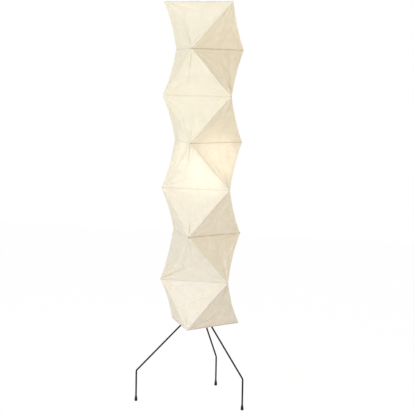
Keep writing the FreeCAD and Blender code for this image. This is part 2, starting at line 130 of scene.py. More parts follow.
def edit(kind="VERT"):
    """Opens the active piece for editing with everything selected."""
    bpy.ops.object.mode_set(mode="EDIT")
    bpy.ops.mesh.select_mode(type=kind)
    bpy.ops.mesh.select_all(action="SELECT")


def done_editing():
    """Back to object mode, with place and turn kept in the mesh."""
    bpy.ops.object.mode_set(mode="OBJECT")
    bpy.ops.object.transform_apply(location=True, rotation=True, scale=True)


def walled(piece, thickness):
    """Gives an open sheet a wall on its inner side."""
    wall = piece.modifiers.new("wall", "SOLIDIFY")
    wall.thickness = thickness
    wall.offset = -1
    bpy.ops.object.modifier_apply(modifier=wall.name)


def smooth(piece, angle):
    """Shades a piece smooth, except over edges sharper than this angle in degrees."""
    bpy.ops.object.select_all(action="DESELECT")
    piece.select_set(True)
    bpy.context.view_layer.objects.active = piece
    bpy.ops.object.shade_smooth_by_angle(angle=math.radians(angle))


print("tools for pieces ready")


# %% Tools for a piece's points
def places(piece):
    """The piece's vertices as an array of x, y, z."""
    points = np.empty(len(piece.data.vertices) * 3)
    piece.data.vertices.foreach_get("co", points)
    return points.reshape(-1, 3)


def move_to(piece, points):
    """Puts the piece's vertices at these places."""
    piece.data.vertices.foreach_set("co", points.astype(np.float32).ravel())
    piece.data.update()


def note(piece, name, values):
    """Keeps one number for each vertex, for the piece's material to read."""
    attribute = piece.data.attributes.new(name, "FLOAT", "POINT")
    attribute.data.foreach_set("value", values.astype(np.float32))


print("tools for points ready")

# %% [markdown]
# ## The paper, one band at a time
# Each band joins one wire triangle to the next, which is turned by 60 degrees, so the paper folds
# into six tall triangles: three stand on the lower wire and three hang from the upper one. A list of
# points would give them too, but a few operators say more plainly what the shade is: a triangle is
# extruded down to the next frame, its lower ring is turned, and its four-sided faces are split along
# their short diagonals. Subdividing then gives enough points to let the paper go slack.


# %% Plain folded band
paper_wall = 0.0003
split_at_wire = 0.0003      # between two bands, at the wire that they share
paper_cuts = 63             # rows of new points between one frame and the next


def folded_band(k):
    """Band k as six flat triangles, each cut into small ones."""
    top = levels[k - 1] - split_at_wire / 2
    drop = levels[k - 1] - levels[k] - split_at_wire
    half_turn = math.pi * ((k - 1) % 2)
    start_fresh()
    bpy.ops.mesh.primitive_circle_add(vertices=3, radius=reach, fill_type="NOTHING",
                                      location=(0, 0, top), rotation=(0, 0, half_turn))
    band = named(f"shade_band_{k}")
    edit("EDGE")
    bpy.ops.mesh.extrude_edges_move(TRANSFORM_OT_translate={"value": (0, 0, -drop)})
    bpy.ops.transform.rotate(value=math.radians(60), orient_axis="Z", center_override=(0, 0, top))
    bpy.ops.mesh.select_all(action="SELECT")
    bpy.ops.mesh.quads_convert_to_tris(quad_method="SHORTEST_DIAGONAL")
    bpy.ops.mesh.subdivide(number_cuts=paper_cuts)
    bpy.ops.mesh.normals_make_consistent(inside=False)
    done_editing()
    return band, top, drop


print("a plain band has", 6 * (paper_cuts + 1) ** 2, "small triangles")

# %% [markdown]
# ### Slack paper
# Real paper hangs a little slack between its wires. Its diagonal folds bow inwards, the triangles
# sag, soft wrinkles fan out of the corners where the paper is pulled tight, and it is pressed in
# beside each wire. A cloth simulation could make soft folds, but this paper is stiff, and paste and
# hands gave it its wrinkles. So they are formulas, on two numbers that every point has: how far it is
# down the band, and how far it is across its own triangle. They fade out at the folds, so that the
# triangles still meet. The random numbers are seeded, so that each run gives the same paper.

# %% Where a point is on its triangle
half_base = reach * math.sqrt(3) / 2
slant = math.hypot(levels[0] - levels[1], reach / 2)
edge_lean = slant / math.hypot(slant, half_base)
crowding = 0.8              # 0 leaves the rows evenly spaced, and 1 brings them together at the wires
tiny = 1e-6                 # so that a tie goes to the first triangle, and no width is ever 0


def tighter_rows(share):
    """Brings the rows of points closer together near the wires."""
    return share - crowding * np.sin(2 * np.pi * share) / (2 * np.pi)


def sides_at(share):
    """Distance from the axis to the two kinds of triangle at this share of the way down."""
    return reach * (1 - share / 2), reach * (1 + share) / 2


def facet_places(points, top, drop, half_turn):
    """For each point: its triangle, its share of the way down, and its place across from -1 to 1."""
    share = np.clip((top - points[:, 2]) / drop, 0, 1)
    standing, hanging = sides_at(share)
    best = np.full(len(points), -np.inf)
    facet = np.zeros(len(points), int)
    across = np.zeros(len(points))
    for k in range(6):
        angle = math.radians(90 + 60 * k) + half_turn
        outwards = points[:, 0] * math.cos(angle) + points[:, 1] * math.sin(angle)
        sideways = -points[:, 0] * math.sin(angle) + points[:, 1] * math.cos(angle)
        miss = outwards - (standing if k % 2 == 0 else hanging)
        width = half_base * (share if k % 2 == 0 else 1 - share)
        here = miss > best + tiny
        best = np.where(here, miss, best)
        facet = np.where(here, k, facet)
        across = np.where(here, sideways / np.maximum(width, tiny), across)
    return facet, share, np.clip(across, -1, 1)


print("a triangle's base is", round(2 * half_base, 4), "and its height", round(slant, 4))

# %% Folds that bow inwards
fold_bow = (0.0060, 0.0090)    # least and most, halfway down a fold
fold_skew = (0.85, 1.15)       # moves the deepest place up or down the fold
fold_ripple = 0.0004           # the unevenness of paper pasted by hand
ripple_waves = 3.2


def fold_points(share, half_turn, rng):
    """Where the six folds cut the level at each share of the way down, bowed inwards."""
    standing, hanging = sides_at(share)
    folds = []
    for k in range(6):
        angle = math.radians(90 + 60 * k) + half_turn
        here, there = (standing, hanging) if k % 2 == 0 else (hanging, standing)
        along = (there - here / 2) / math.cos(math.radians(30))
        x = here * math.cos(angle) - along * math.sin(angle)
        y = here * math.sin(angle) + along * math.cos(angle)
        skew = rng.uniform(*fold_skew)
        bow = rng.uniform(*fold_bow) * 4 * share ** skew * (1 - share ** skew)
        ripple = np.sin(2 * np.pi * (ripple_waves * share + rng.random()))
        bow = bow + fold_ripple * np.sin(np.pi * share) * ripple
        keep = 1 - bow / np.hypot(x, y)
        folds.append((x * keep, y * keep))
    return folds


print("a fold bows inwards by", [1000 * bow for bow in fold_bow], "mm")

# %% Kinds of wrinkle
soft_share = 0.6               # share of the wrinkles that are soft, the rest being sharp creases
crease_foot = 1.6              # how much wider a sharp crease is at its foot


def eased(value):
    """Rises smoothly from 0 to 1 as the value does."""
    value = np.clip(value, 0, 1)
    return value * value * (3 - 2 * value)


def ridge(offset, width, rng):
    """The profile of one wrinkle: soft like a swelling, or sharp like a crease."""
    if rng.random() < soft_share:
        return np.exp(-(offset / width) ** 2)
    return np.clip(1 - np.abs(offset) / (crease_foot * width), 0, 1)


print("of the wrinkles,", round(100 * soft_share), "in 100 are soft")

# %% Fans of ridges, and creases
fan_ridges = (4, 8)            # a fan has this many ridges, but fewer than the second number
fan_places = (0.08, 0.92)      # where a ridge may lie between the fan's two sides
fan_widths = (0.04, 0.10)      # how much of the fan a ridge takes up
fan_lengths = (0.06, 0.20)
fan_sizes = (0.3, 1.0)         # a ridge's height, as a share of its fan's
fan_start = 0.006              # how far from the corner a ridge begins
fan_rise = 0.03                # and how far on it has its full height
fan_edge = 5                   # a fan fades out over one fifth of its spread at each side
crease_lengths = (0.4, 1.0)    # of one crease, as a share of its kind's
crease_widths = (0.6, 1.4)
crease_bend = 0.6              # how far a crease may curve over its own length


def fan(x, y, spread, rng, height):
    """Ridges that fan out of a corner at 0, 0, between the directions 0 and spread."""
    away = np.hypot(x, y)
    turn = np.clip(np.arctan2(y, x) / spread, 0, 1)
    total = np.zeros_like(x)
    for _ in range(rng.integers(*fan_ridges)):
        middle = rng.uniform(*fan_places)
        width = rng.uniform(*fan_widths)
        length = rng.uniform(*fan_lengths)
        size = rng.uniform(*fan_sizes) * rng.choice((-1, 1)) * height
        fades = eased((away - fan_start) / fan_rise) * np.exp(-away / length)
        total += size * ridge(turn - middle, width, rng) * fades
    return total * eased(fan_edge * turn) * eased(fan_edge * (1 - turn))


def creases(x, y, rng, count, height, width, length, lean):
    """Wrinkles that lie within a lean of the way from tip to base. A lean of pi is any direction."""
    total = np.zeros_like(x)
    for _ in range(count):
        centre_y = slant * math.sqrt(rng.random())
        centre_x = half_base * centre_y / slant * rng.uniform(-1, 1)
        angle = lean * rng.uniform(-0.5, 0.5)
        offset = (x - centre_x) * math.cos(angle) + (y - centre_y) * math.sin(angle)
        along = (y - centre_y) * math.cos(angle) - (x - centre_x) * math.sin(angle)
        half_length = length * rng.uniform(*crease_lengths)
        bent = offset + crease_bend * along ** 2 * rng.uniform(-1, 1) / half_length / 2
        size = rng.uniform(-1, 1) * height
        profile = ridge(bent, width * rng.uniform(*crease_widths), rng)
        total += size * profile * np.exp(-(along / half_length) ** 2)
    return total


print("a fan has", fan_ridges[0], "to", fan_ridges[1] - 1, "ridges")

# %% Slack of one triangle
sag = (0.001, 0.004)           # least and most, in the middle of a triangle
sag_fullness = 0.8             # below 1, the sag is fuller towards the tip and the base
fan_heights = (0.0078, 0.0056, 0.0050)    # at its tip, and at the two ends of its base
crease_kinds = (               # how many there are, and the height, width, length and lean of each
    (5, 0.0028, 0.012, 0.09, np.pi),
    (8, 0.0014, 0.0050, 0.08, 0.9),
    (34, 0.0010, 0.0075, 0.032, np.pi))
pinch = (0.0008, 0.0018)       # least and most that the paper lies back from its folds
pinch_width = 0.006
pinch_fade = 0.03
press = 0.0009                 # how far it is pressed in beside a wire
press_place = 0.0032
press_width = 0.0014
press_fade = 0.012
fold_fade = 0.016              # over these distances all wrinkles fade out at a fold and at a wire
wire_fade = 0.012


def slack(across, from_tip, rng):
    """How far the paper of one triangle stands out, from its tip at 0 to its base at 1."""
    x = across * half_base * from_tip
    y = from_tip * slant
    to_fold = (half_base * from_tip - np.abs(x)) * edge_lean
    to_wire = (1 - from_tip) * slant
    tip_spread = 2 * math.atan2(half_base, slant)
    base_spread = math.atan2(slant, half_base)
    side_lean = tip_spread / 2 - math.pi / 2
    tip_x = x * math.cos(side_lean) - y * math.sin(side_lean)
    tip_y = x * math.sin(side_lean) + y * math.cos(side_lean)
    out = -rng.uniform(*sag) * (1 - across ** 2) * np.sin(np.pi * from_tip) ** sag_fullness
    out = out + fan(tip_x, tip_y, tip_spread, rng, fan_heights[0])
    out = out + fan(half_base + x, slant - y, base_spread, rng, fan_heights[1])
    out = out + fan(half_base - x, slant - y, base_spread, rng, fan_heights[2])
    for kind in crease_kinds:
        out = out + creases(x, y, rng, *kind)
    pinched = rng.uniform(*pinch) * (1 - np.exp(-to_fold / pinch_width))
    pinched = pinched * eased(to_wire / pinch_fade)
    pressed = press * np.exp(-((to_wire - press_place) / press_width) ** 2)
    pressed = pressed * eased(to_fold / press_fade)
    inside = eased(np.minimum(to_fold / fold_fade, to_wire / wire_fade))
    return out * inside - pinched - pressed, to_fold, to_wire


print("a triangle has", sum(kind[0] for kind in crease_kinds), "shorter creases")

# %% [markdown]
# ### What the paper's finish will read
# The glue shows as a thin brown line along each wire. The line also holds painted shade from the groove
# beside the wire, so it is strongest on the right side of the shade, which faces away from the light,
# and faint on the lit sides. Brown glue spots mark a few corners. Each band is cut from a sheet of its
# own, and two of the sheets are a little darker. Such things could be painted on a picture of the
# shade. Kept on the paper's points as numbers, which the material reads later, they need no picture,
# and they stay in their places when the shade is gathered up.

# %% Where glue and painted shade show
# The line along each wire is glue with painted shade in it, strongest on the right side, which faces away
# from the light.
glue_and_shade_by_side = {270: 0.30, 210: 0.12, 330: 1.0}    # how brown the line on each side of a wire is
glue_and_shade_elsewhere = 0.55
corner_marks = ((1, 270, 0.7), (2, 330, 0.8), (3, 30, 0.5), (3, 270, 0.4), (4, 330, 0.4),
                (5, 270, 0.8), (5, 30, 0.4), (6, 330, 0.6), (7, 210, 0.3))
mark_size = 0.0045


def glue_and_shade_on(side):
    """How strongly the glue line, with its painted shade, shows along the wire on this side, in degrees.
    """
    return glue_and_shade_by_side.get(round(side) % 360, glue_and_shade_elsewhere)


def brown_corners(points):
    """How near each point is to a corner where the glue has gone brown."""
    total = np.zeros(len(points))
    for level, angle, strength in corner_marks:
        turn = math.radians(angle)
        corner = np.array((reach * math.cos(turn), reach * math.sin(turn), levels[level]))
        total += strength * np.exp(-np.sum((points - corner) ** 2, axis=1) / mark_size ** 2)
    return np.clip(total, 0, 1)


print("glue shows at", len(corner_marks), "corners")

# %% Slack on a whole band
paper_seed = 40
sheet_tones = {2: 0.06, 6: 0.20}    # the bands with a darker sheet, and how far it is towards the dark


def slacken(band, k, top, drop):
    """Moves a plain band's points to where slack paper has them, and keeps what its finish reads."""
    half_turn = math.pi * ((k - 1) % 2)
    rng = np.random.default_rng(paper_seed + k)
    points = places(band)
    facet, share, across = facet_places(points, top, drop, half_turn)
    share = tighter_rows(share)
    folds = fold_points(share, half_turn, rng)
    to_fold = np.zeros(len(points))
    to_wire = np.zeros(len(points))
    glue_and_shade = np.zeros(len(points))
    for f in range(6):
        mine = facet == f
        angle = math.radians(90 + 60 * f) + half_turn
        before, after = folds[f - 1], folds[f]
        mix = (across[mine] + 1) / 2
        x = before[0][mine] * (1 - mix) + after[0][mine] * mix
        y = before[1][mine] * (1 - mix) + after[1][mine] * mix
        from_tip = share[mine] if f % 2 == 0 else 1 - share[mine]
        out, to_fold[mine], to_wire[mine] = slack(across[mine], from_tip, rng)
        points[mine, 0] = x + out * math.cos(angle)
        points[mine, 1] = y + out * math.sin(angle)
        glue_and_shade[mine] = glue_and_shade_on(math.degrees(angle))
    points[:, 2] = top - share * drop
    move_to(band, points)
    note(band, "to_fold", to_fold * 1000)
    note(band, "to_wire", to_wire * 1000)
    note(band, "glue_and_shade", glue_and_shade)
    note(band, "brown", brown_corners(points))
    note(band, "sheet", np.full(len(points), sheet_tones.get(k, 0.0)))


print("the bands' seeds are", paper_seed + 1, "to", paper_seed + band_count)

# %% Paper shade
paper_bands = []
for k in range(1, band_count + 1):
    band, top, drop = folded_band(k)
    slacken(band, k, top, drop)
    bpy.context.view_layer.objects.active = band
    walled(band, paper_wall)
    smooth(band, 18)
    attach(band, "stand" if k == 1 else f"level_{k - 1}")
    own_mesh(band)
    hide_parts(f"paper_band_{k}")
    paper_bands.append(band)
print("paper bands have", [len(b.data.polygons) for b in paper_bands], "faces")

# %% [markdown]
# ### Hems
# At the top and the bottom of the shade the paper is folded over the wire and glued down inside. A
# thin tube round the wire would look much the same from outside, but it would leave out the strip
# that is turned in. So a hem is a triangle again, extruded and resized step by step round the wire
# and then inside, and its corners stay mitred like folded paper.

# %% Sizes of a hem
wire_radius = (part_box("frame_0")[1][2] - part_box("frame_0")[0][2]) / 2
hem_gap = 0.0006            # from the wire to the outside of the paper
hem_lap = 0.0002            # the turned-in strip stands this far off the wire
hem_radius = wire_radius + hem_gap
hem_steps = 8               # round the wire
hem_cuts = 24               # along it
hem_turn_in = 0.009
hem_wave = 0.00035
hem_waves = 11              # in the whole way round
hem_to_fold = 30.0          # for the finish, in millimetres: no fold is near,
hem_to_wire = 1.0           # and the wire is close all along
wire_reach = reach / 2 - hem_radius


def hem_profile(side):
    """Distance from the axis and height of each line of the hem, round the wire and then inside."""
    profile = [(wire_reach + hem_radius * math.cos(a), side * hem_radius * math.sin(a))
               for a in np.linspace(0, math.pi, hem_steps + 1)]
    profile.append((wire_reach - hem_radius - hem_lap, -side * hem_turn_in))
    return profile


print("a hem has", len(hem_profile(1)), "lines round a wire of", round(2000 * wire_radius, 1), "mm")


# %% Hems at the top and the bottom
def hem(name, level, side, half_turn, body, node, glue_and_shade):
    """Paper folded over a wire: side 1 over its top, side -1 under its bottom."""
    profile = hem_profile(side)
    to_corner = 2 * profile[0][0]    # a triangle's corners are twice as far out as its sides
    start_fresh()
    bpy.ops.mesh.primitive_circle_add(vertices=3, radius=to_corner, fill_type="NOTHING",
                                      location=(0, 0, level), rotation=(0, 0, half_turn))
    piece = named(name)
    edit("EDGE")
    for (before, low), (after, high) in zip(profile, profile[1:]):
        bpy.ops.mesh.extrude_edges_move(TRANSFORM_OT_translate={"value": (0, 0, high - low)})
        growth = after / before
        bpy.ops.transform.resize(value=(growth, growth, 1), center_override=(0, 0, level))
    bpy.ops.mesh.select_all(action="SELECT")
    bpy.ops.mesh.normals_make_consistent(inside=False)
    bpy.ops.mesh.subdivide(number_cuts=hem_cuts)
    done_editing()
    points = places(piece)
    along = np.arctan2(points[:, 1], points[:, 0])
    from_corner = np.abs(np.sin(1.5 * (along - math.pi / 2 - half_turn)))
    points[:, 2] += hem_wave * np.sin(hem_waves * along) * from_corner
    move_to(piece, points)
    note(piece, "to_fold", np.full(len(points), hem_to_fold))
    note(piece, "to_wire", np.full(len(points), hem_to_wire))
    note(piece, "glue_and_shade", np.full(len(points), glue_and_shade))
    note(piece, "brown", np.zeros(len(points)))
    note(piece, "sheet", np.zeros(len(points)))
    walled(piece, paper_wall)
    smooth(piece, 40)
    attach(piece, body)
    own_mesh(piece)
    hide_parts(node)
    return piece


# The hems take the glue line all over, painted shade included, more on the bottom hem than on the top
# one.
hems = [hem("shade_hem_top", levels[0], 1, 0.0, "stand", "top_hem", glue_and_shade=0.10),
        hem("shade_hem_bottom", levels[-1], -1, math.pi, f"level_{band_count}",
            "bottom_hem", glue_and_shade=0.28)]
print("hems have", [len(h.data.polygons) for h in hems], "faces")

# %% [markdown]
# ## The bulb's cap
# A screw cap is thin sheet metal, rolled into a round thread. The solid cap is a plain cylinder, so
# this piece stands for it. A thread could be spun from its profile, but its two ends would then have
# to be closed by hand. A cylinder with many rings is closed from the start, and its points only have
# to move in along a helix. The groove fades out near both rims, where a real cap is plain, and
# nothing goes outside the solid's own radius.

# %% Rolled thread
thread_pitch = 0.0036
thread_depth = 0.0011
thread_fade = 0.003         # over this height the thread reaches its full depth
cap_chamfer = 0.003
cap_radius = 0.013
cap_sides = 72
cap_rings = 58
cap_low, cap_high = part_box("bulb_cap")
neck_radius = (cap_high[0] - cap_low[0]) / 2
cap_height = cap_high[2] - cap_low[2]
cap_middle = [(low + high) / 2 for low, high in zip(cap_low, cap_high)]
start_fresh()
bpy.ops.mesh.primitive_cylinder_add(vertices=cap_sides, radius=cap_radius, depth=cap_height,
                                    end_fill_type="NGON", location=cap_middle)
cap = named("bulb_screw_cap")
edit("EDGE")
bpy.ops.mesh.select_all(action="DESELECT")
bpy.ops.object.mode_set(mode="OBJECT")
for line in cap.data.edges:
    first, second = (cap.data.vertices[v].co.z for v in line.vertices)
    line.select = abs(first - second) > cap_height / 2
bpy.ops.object.mode_set(mode="EDIT")
bpy.ops.mesh.subdivide(number_cuts=cap_rings, quadcorner="STRAIGHT_CUT")
done_editing()
points = places(cap)
from_rim = np.minimum(points[:, 2] - cap_low[2], cap_high[2] - points[:, 2])
x, y = points[:, 0] - cap_middle[0], points[:, 1] - cap_middle[1]
turns = points[:, 2] / thread_pitch - np.arctan2(y, x) / (2 * np.pi)
groove = thread_depth * (1 - np.cos(2 * np.pi * turns)) / 2
groove = groove * eased((from_rim - cap_chamfer) / thread_fade)
outline = np.interp(
    points[:, 2],
    (cap_low[2], cap_low[2] + cap_chamfer, cap_high[2] - cap_chamfer, cap_high[2]),
    (cap_radius - cap_chamfer, cap_radius, cap_radius, neck_radius))
keep = (outline - groove) / cap_radius
points[:, 0], points[:, 1] = cap_middle[0] + x * keep, cap_middle[1] + y * keep
move_to(cap, points)
smooth(cap, 40)
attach(cap, "bulb")
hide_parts("bulb_cap")
print("the cap has", round(cap_height / thread_pitch, 1), "turns of thread and",
      len(cap.data.polygons), "faces")

# %% [markdown]
# ## The rubber tips
# Each rod stands in a moulded rubber tip, as a walking stick does: narrow where it grips the rod, then
# a round swelling over a small flat sole. The solid tip has one plain rounding, and a bevelled
# cylinder would have no more. Rubber is softer than that, so its outline has more points here. A ring
# starts on the floor of the bore, is extruded and resized up the bore, over the lip and down the
# outside, and is closed under the sole.

# %% Rubber tips
tip_bore = 0.0041
tip_floor = 0.005           # rubber under the rod's end
tip_sides = 48
# Radius and height of each ring, up the bore, over the lip and down to the sole.
tip_outline = ((tip_bore, 0.0246), (tip_bore + 0.0002, 0.025), (0.0048, 0.025), (0.0051, 0.0246),
               (0.0051, 0.0225), (0.0053, 0.0205), (0.0057, 0.018), (0.00625, 0.015), (0.0068, 0.012),
               (0.00715, 0.0095), (0.0073, 0.007), (0.0072, 0.005), (0.00685, 0.0032), (0.00625, 0.0017),
               (0.0054, 0.0007), (0.0045, 0.00015), (0.0040, 0.0))


def rubber_tip(side):
    """The tip of one leg, round the middle of its solid."""
    low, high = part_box(f"foot_{side}")
    centre = ((low[0] + high[0]) / 2, (low[1] + high[1]) / 2, 0)
    start_fresh()
    bpy.ops.mesh.primitive_circle_add(vertices=tip_sides, radius=tip_bore, fill_type="NGON",
                                      location=(centre[0], centre[1], tip_floor))
    piece = named(f"rubber_tip_{side}")
    edit("EDGE")
    radius, height = tip_bore, tip_floor
    for new_radius, new_height in tip_outline:
        growth = new_radius / radius
        bpy.ops.mesh.extrude_edges_move(TRANSFORM_OT_translate={"value": (0, 0, new_height - height)})
        bpy.ops.transform.resize(value=(growth, growth, 1), center_override=centre)
        radius, height = new_radius, new_height
    bpy.ops.mesh.edge_face_add()
    bpy.ops.mesh.select_all(action="SELECT")
    bpy.ops.mesh.normals_make_consistent(inside=False)
    done_editing()
    smooth(piece, 40)
    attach(piece, "stand")
    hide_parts(f"foot_{side}")
    return piece


rubber_tips = [rubber_tip(side) for side in ("back", "left", "right")]
print("rubber tips have", [len(tip.data.polygons) for tip in rubber_tips], "faces")

# %% [markdown]
# ## Materials
# Each finish starts from a Principled shader. What several finishes share could be built again in
# each of them. As a node group it is built once, and every finish gives it a size and an amount of its
# own: fine grain for the bumps, and wear, in patches and in thin upright streaks.


# %% Node tools
def add(tree, kind, **settings):
    """A node with its settings. Names that match an input set that input's value."""
    made = tree.nodes.new(kind)
    for key, value in settings.items():
        name = key.replace("_", " ")
        if name in made.inputs:
            made.inputs[name].default_value = value
        else:
            setattr(made, key, value)
    return made


def join(tree, *pairs):
    """Links output sockets to input sockets, two at a time."""
    for start, end in zip(pairs[::2], pairs[1::2]):
        tree.links.new(start, end)


def ramp(tree, source, low, high, low_value=0.0, high_value=1.0):
    """A smooth step of a value."""
    made = add(tree, "ShaderNodeMapRange", interpolation_type="SMOOTHSTEP")
    ends = {"From Min": low, "From Max": high, "To Min": low_value, "To Max": high_value}
    for name, value in ends.items():
        made.inputs[name].default_value = value
    tree.links.new(source, made.inputs["Value"])
    return made.outputs["Result"]


def maths(tree, operation, first, second):
    """One sum on two values or sockets."""
    made = add(tree, "ShaderNodeMath", operation=operation)
    for socket, value in zip(made.inputs, (first, second)):
        if isinstance(value, (int, float)):
            socket.default_value = value
        else:
            tree.links.new(value, socket)
    return made.outputs[0]


def mixed(tree, factor, first, second, blend_type="MIX"):
    """Mixes two colours, each a value or a socket."""
    made = add(tree, "ShaderNodeMix", data_type="RGBA", blend_type=blend_type)
    for socket, value in ((made.inputs[0], factor), (made.inputs[6], first), (made.inputs[7], second)):
        if isinstance(value, (int, float, tuple)):
            socket.default_value = value
        else:
            tree.links.new(value, socket)
    return made.outputs[2]


def noise(tree, vector, scale, detail=4.0, roughness=0.55, distortion=0.0):
    """Fractal noise on a vector."""
    made = add(tree, "ShaderNodeTexNoise", Scale=scale, Detail=detail, Roughness=roughness,
               Distortion=distortion)
    tree.links.new(vector, made.inputs["Vector"])
    return made.outputs["Fac"]


print("node tools ready")


# %% Tools for materials and groups
def finish(name, **principled):
    """A new material: its tree, its Principled shader and the object's own coordinates."""
    material = bpy.data.materials.new(name)
    material.use_nodes = True
    tree = material.node_tree
    shader = tree.nodes["Principled BSDF"]
    for key, value in principled.items():
        shader.inputs[key.replace("_", " ")].default_value = value
    where = add(tree, "ShaderNodeTexCoord").outputs["Object"]
    return material, tree, shader, where


def bump(tree, height, shader, distance, strength=1.0):
    """Feeds a height into the shader's normal."""
    made = add(tree, "ShaderNodeBump", Distance=distance, Strength=strength)
    join(tree, height, made.inputs["Height"], made.outputs["Normal"], shader.inputs["Normal"])


def group(name, inputs, outputs):
    """An empty node group with float and vector inputs and float outputs."""
    tree = bpy.data.node_groups.new(name, "ShaderNodeTree")
    for label, kind in inputs:
        tree.interface.new_socket(label, in_out="INPUT", socket_type=kind)
    for label in outputs:
        tree.interface.new_socket(label, in_out="OUTPUT", socket_type="NodeSocketFloat")
    return tree, tree.nodes.new("NodeGroupInput"), tree.nodes.new("NodeGroupOutput")


def use(tree, shared, where, **values):
    """Places a shared group, with its own values."""
    made = tree.nodes.new("ShaderNodeGroup")
    made.node_tree = shared
    tree.links.new(where, made.inputs["Place"])
    for key, value in values.items():
        made.inputs[key].default_value = value
    return made.outputs


print("material tools ready")

# %% Shared effects
grain, into, out_of = group("fine_grain", [("Place", "NodeSocketVector"), ("Size", "NodeSocketFloat")],
                            ["Height"])
fine = add(grain, "ShaderNodeTexNoise", Detail=5.0, Roughness=0.6)
join(grain, into.outputs["Place"], fine.inputs["Vector"], into.outputs["Size"], fine.inputs["Scale"],
     fine.outputs["Fac"], out_of.inputs["Height"])

wear, into, out_of = group("worn_patches", [("Place", "NodeSocketVector"), ("Size", "NodeSocketFloat"),
                                            ("Amount", "NodeSocketFloat")],
                           ["Mask", "Streaks"])
blotch = add(wear, "ShaderNodeTexNoise", Detail=6.0, Roughness=0.65)
streak = add(wear, "ShaderNodeTexNoise", Detail=3.0, Scale=900.0)
squeeze = add(wear, "ShaderNodeMapping")
squeeze.inputs["Scale"].default_value = (1, 1, 0.06)
join(wear, into.outputs["Place"], blotch.inputs["Vector"],
     into.outputs["Size"], blotch.inputs["Scale"],
     into.outputs["Place"], squeeze.inputs["Vector"],
     squeeze.outputs["Vector"], streak.inputs["Vector"])
patches = ramp(wear, blotch.outputs["Fac"], 0.50, 0.68)
join(wear, maths(wear, "MULTIPLY", patches, into.outputs["Amount"]), out_of.inputs["Mask"],
     ramp(wear, streak.outputs["Fac"], 0.35, 0.65), out_of.inputs["Streaks"])
print("shared groups:", grain.name, wear.name)

# %% [markdown]
# ### Handmade paper
# The sheet is thick mulberry paper: matt, a warm white, with long pale fibres laid in all
# directions, and faint clouds where the pulp is thicker. A picture of paper could be wrapped round the
# shade, but it would show its seams and repeats. Noise on the lamp's own coordinates has neither, so
# clouds and fibres are masks of noise, and each mixes one more colour into the sheet. Further down
# the shade the paper is a little rosier, which is a mask of height.

# %% Paper colours
paper_white = (0.955, 0.915, 0.785, 1)
paper_rosy = (0.93, 0.888, 0.845, 1)
paper_olive = (0.925, 0.895, 0.74, 1)
paper_thick = (0.915, 0.855, 0.71, 1)
paper_drawn = (0.90, 0.855, 0.715, 1)
paper_dark = (0.80, 0.735, 0.58, 1)
fibre_white = (0.985, 0.96, 0.88, 1)
# The glue line's brown is glue with painted shade from the groove beside the wire.
glue_and_shade_brown = (0.46, 0.36, 0.20, 1)
# Painted shade along the diagonal folds.
painted_fold_shade = (0.80, 0.70, 0.50, 1)
corner_brown = (0.30, 0.19, 0.13, 1)
bulb_glow = (0.243, 0.23, 0.214, 1)
light_through = (0.96, 0.88, 0.68, 1)


def fibres(tree, where, scale, turn):
    """Thin wandering lines: the places where a stretched noise passes its middle value."""
    laid = add(tree, "ShaderNodeMapping")
    laid.inputs["Rotation"].default_value = turn
    laid.inputs["Scale"].default_value = (1, 1, 0.35)
    join(tree, where, laid.inputs["Vector"])
    field = noise(tree, laid.outputs["Vector"], scale, 2.0, 0.4, 0.6)
    off = maths(tree, "ABSOLUTE", maths(tree, "SUBTRACT", field, 0.5), 0.0)
    return ramp(tree, off, 0.0, 0.012, 1.0, 0.0)


print("the paper is", paper_white[:3], "and its glue", glue_and_shade_brown[:3])

# %% Pulp and fibres
paper, tree, shader, where = finish("washi_paper", Roughness=0.88, Sheen_Weight=0.08,
                                    Sheen_Roughness=0.6, Specular_IOR_Level=0.25,
                                    Emission_Strength=1.0)
height_up = add(tree, "ShaderNodeSeparateXYZ")
join(tree, where, height_up.inputs[0])
# A ramp on height: the paper is rosier and a touch darker towards the bottom.
rosier_lower_down = ramp(tree, height_up.outputs["Z"], levels[2], levels[7])
drifts = ramp(tree, noise(tree, where, 5.0, 3.0, 0.5), 0.40, 0.62)
clouds = ramp(tree, noise(tree, where, 14.0, 5.0, 0.6), 0.38, 0.68)
drawn = add(tree, "ShaderNodeMapping")
drawn.inputs["Scale"].default_value = (1, 1, 0.16)
join(tree, where, drawn.inputs["Vector"])
laid_lines = ramp(tree, noise(tree, drawn.outputs["Vector"], 42.0, 3.0, 0.5), 0.36, 0.66)
long_fibres = maths(tree, "MAXIMUM", fibres(tree, where, 26.0, (0.3, 0.9, 0.2)),
                    fibres(tree, where, 34.0, (1.2, 0.1, 1.4)))
short_fibres = fibres(tree, where, 85.0, (0.6, 1.7, 0.5))
fibre_mask = maths(tree, "ADD", maths(tree, "MULTIPLY", long_fibres, 0.30),
                   maths(tree, "MULTIPLY", short_fibres, 0.15))
colour = mixed(tree, rosier_lower_down, paper_white, paper_rosy)
colour = mixed(tree, maths(tree, "MULTIPLY", drifts, 0.30), colour, paper_olive)
colour = mixed(tree, maths(tree, "MULTIPLY", clouds, 0.35), colour, paper_thick)
colour = mixed(tree, maths(tree, "MULTIPLY", laid_lines, 0.26), colour, paper_drawn)
colour = mixed(tree, fibre_mask, colour, fibre_white)
print("pulp and fibres take", len(tree.nodes), "nodes")

# %% [markdown]
# Over the pulp come the things that were kept on the paper's points: the darker sheets, the brown
# line of glue, with painted shade in it, within a few millimetres of a wire, whose width wanders,
# a trace of painted shade in the folds, and the brown corners.

